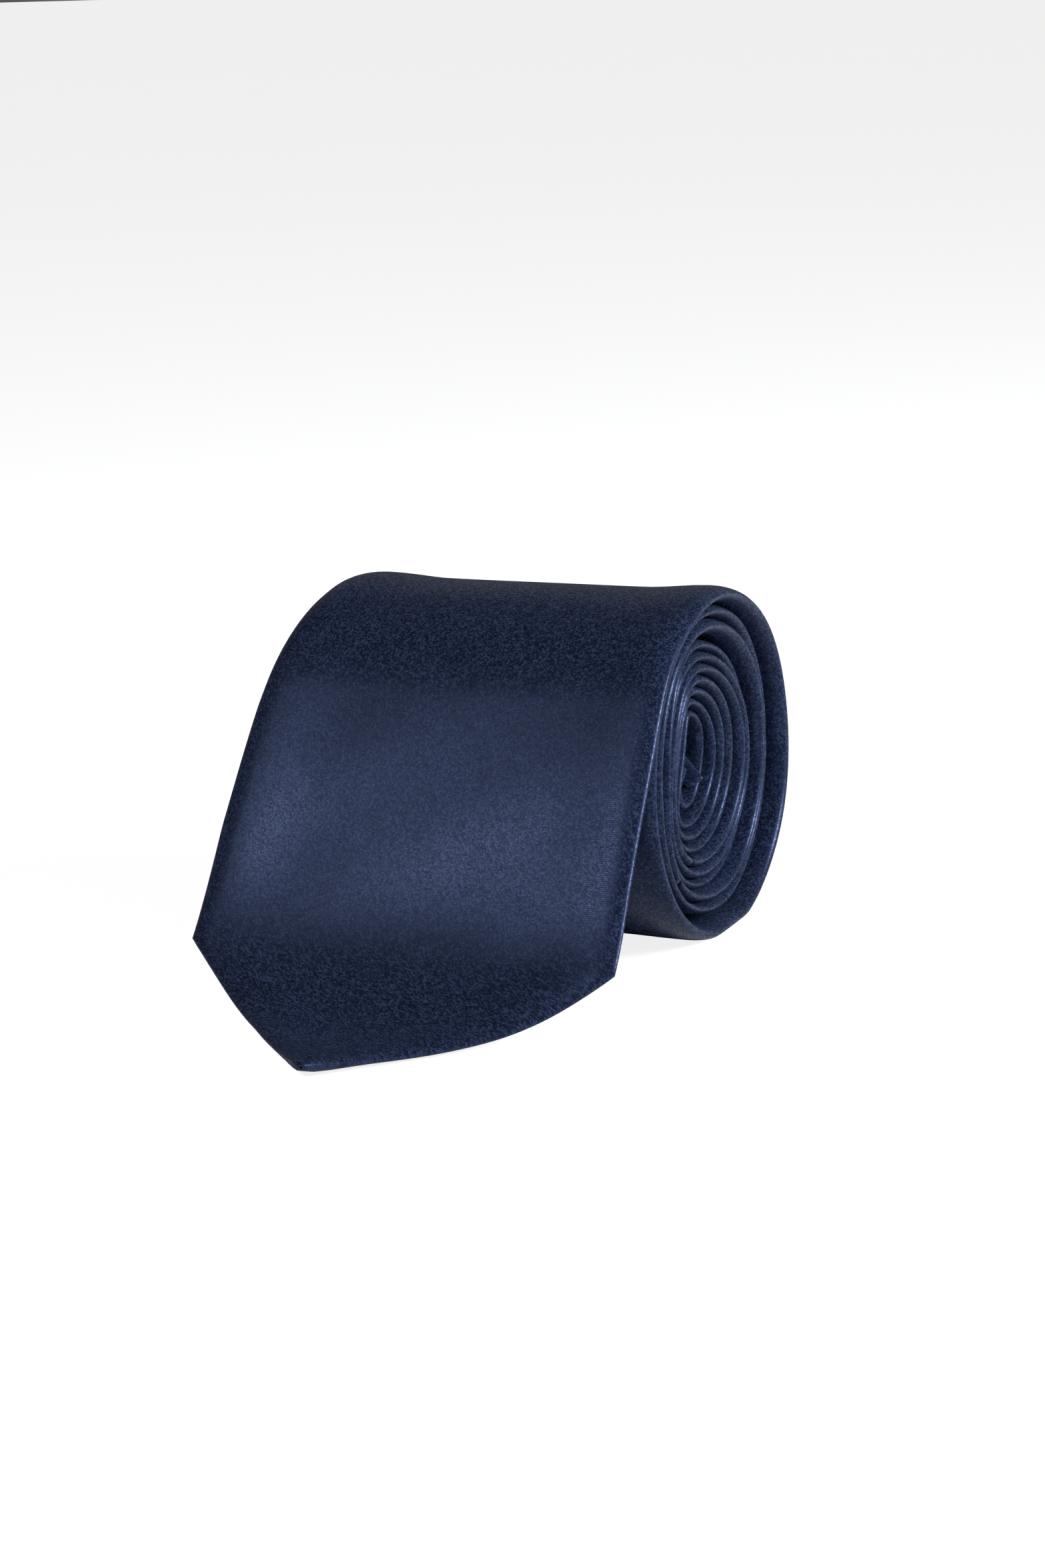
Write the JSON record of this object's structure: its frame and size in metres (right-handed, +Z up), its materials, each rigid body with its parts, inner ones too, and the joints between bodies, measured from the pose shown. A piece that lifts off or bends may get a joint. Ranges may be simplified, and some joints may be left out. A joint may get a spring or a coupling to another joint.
{
  "type": "rolled necktie",
  "caption": "Plain satin necktie rolled up from its narrow end, resting on its roll with the pointed wide blade falling free in front.",
  "frame": {"origin": "under the middle of the whole tie's bounding box, on the surface it lies on", "axes": "+X along the roll towards the end where its turns are flush; -Y to the front, where the free blade points; +Z up"},
  "size_m": [0.085, 0.1421, 0.0681],
  "materials": {
    "satin": "navy satin weave, soft sheen",
    "interlining": "brushed wool blend, matte",
    "tipping": "plain navy lining, slight sheen",
    "thread": "navy sewing thread",
    "label": "woven ribbon with nothing on it"
  },
  "bodies": {
    "roll": {"blade_satin_rolled": "satin", "neck_satin": "satin", "tail_satin": "satin", "interlining_rolled": "interlining", "blade_tipping_rolled": "tipping", "tail_tipping": "tipping", "blade_neck_join": "satin", "neck_tail_join": "satin", "slip_stitch": "thread", "blade_bar_tack": "thread", "tail_bar_tack": "thread", "keeper_loop": "satin", "keeper_stitches": "thread", "blank_label": "label", "label_stitches": "thread"},
    "blade": {"blade_satin_free": "satin", "interlining_free": "interlining", "blade_tipping_free": "tipping"}
  },
  "joints": [
    {"name": "blade_lift", "type": "hinge", "parent": "roll", "child": "blade", "pos_m": [0, -0.00145, 0.05297], "axis": [-1, 0, 0], "range_deg": [0, 110]}
  ]
}
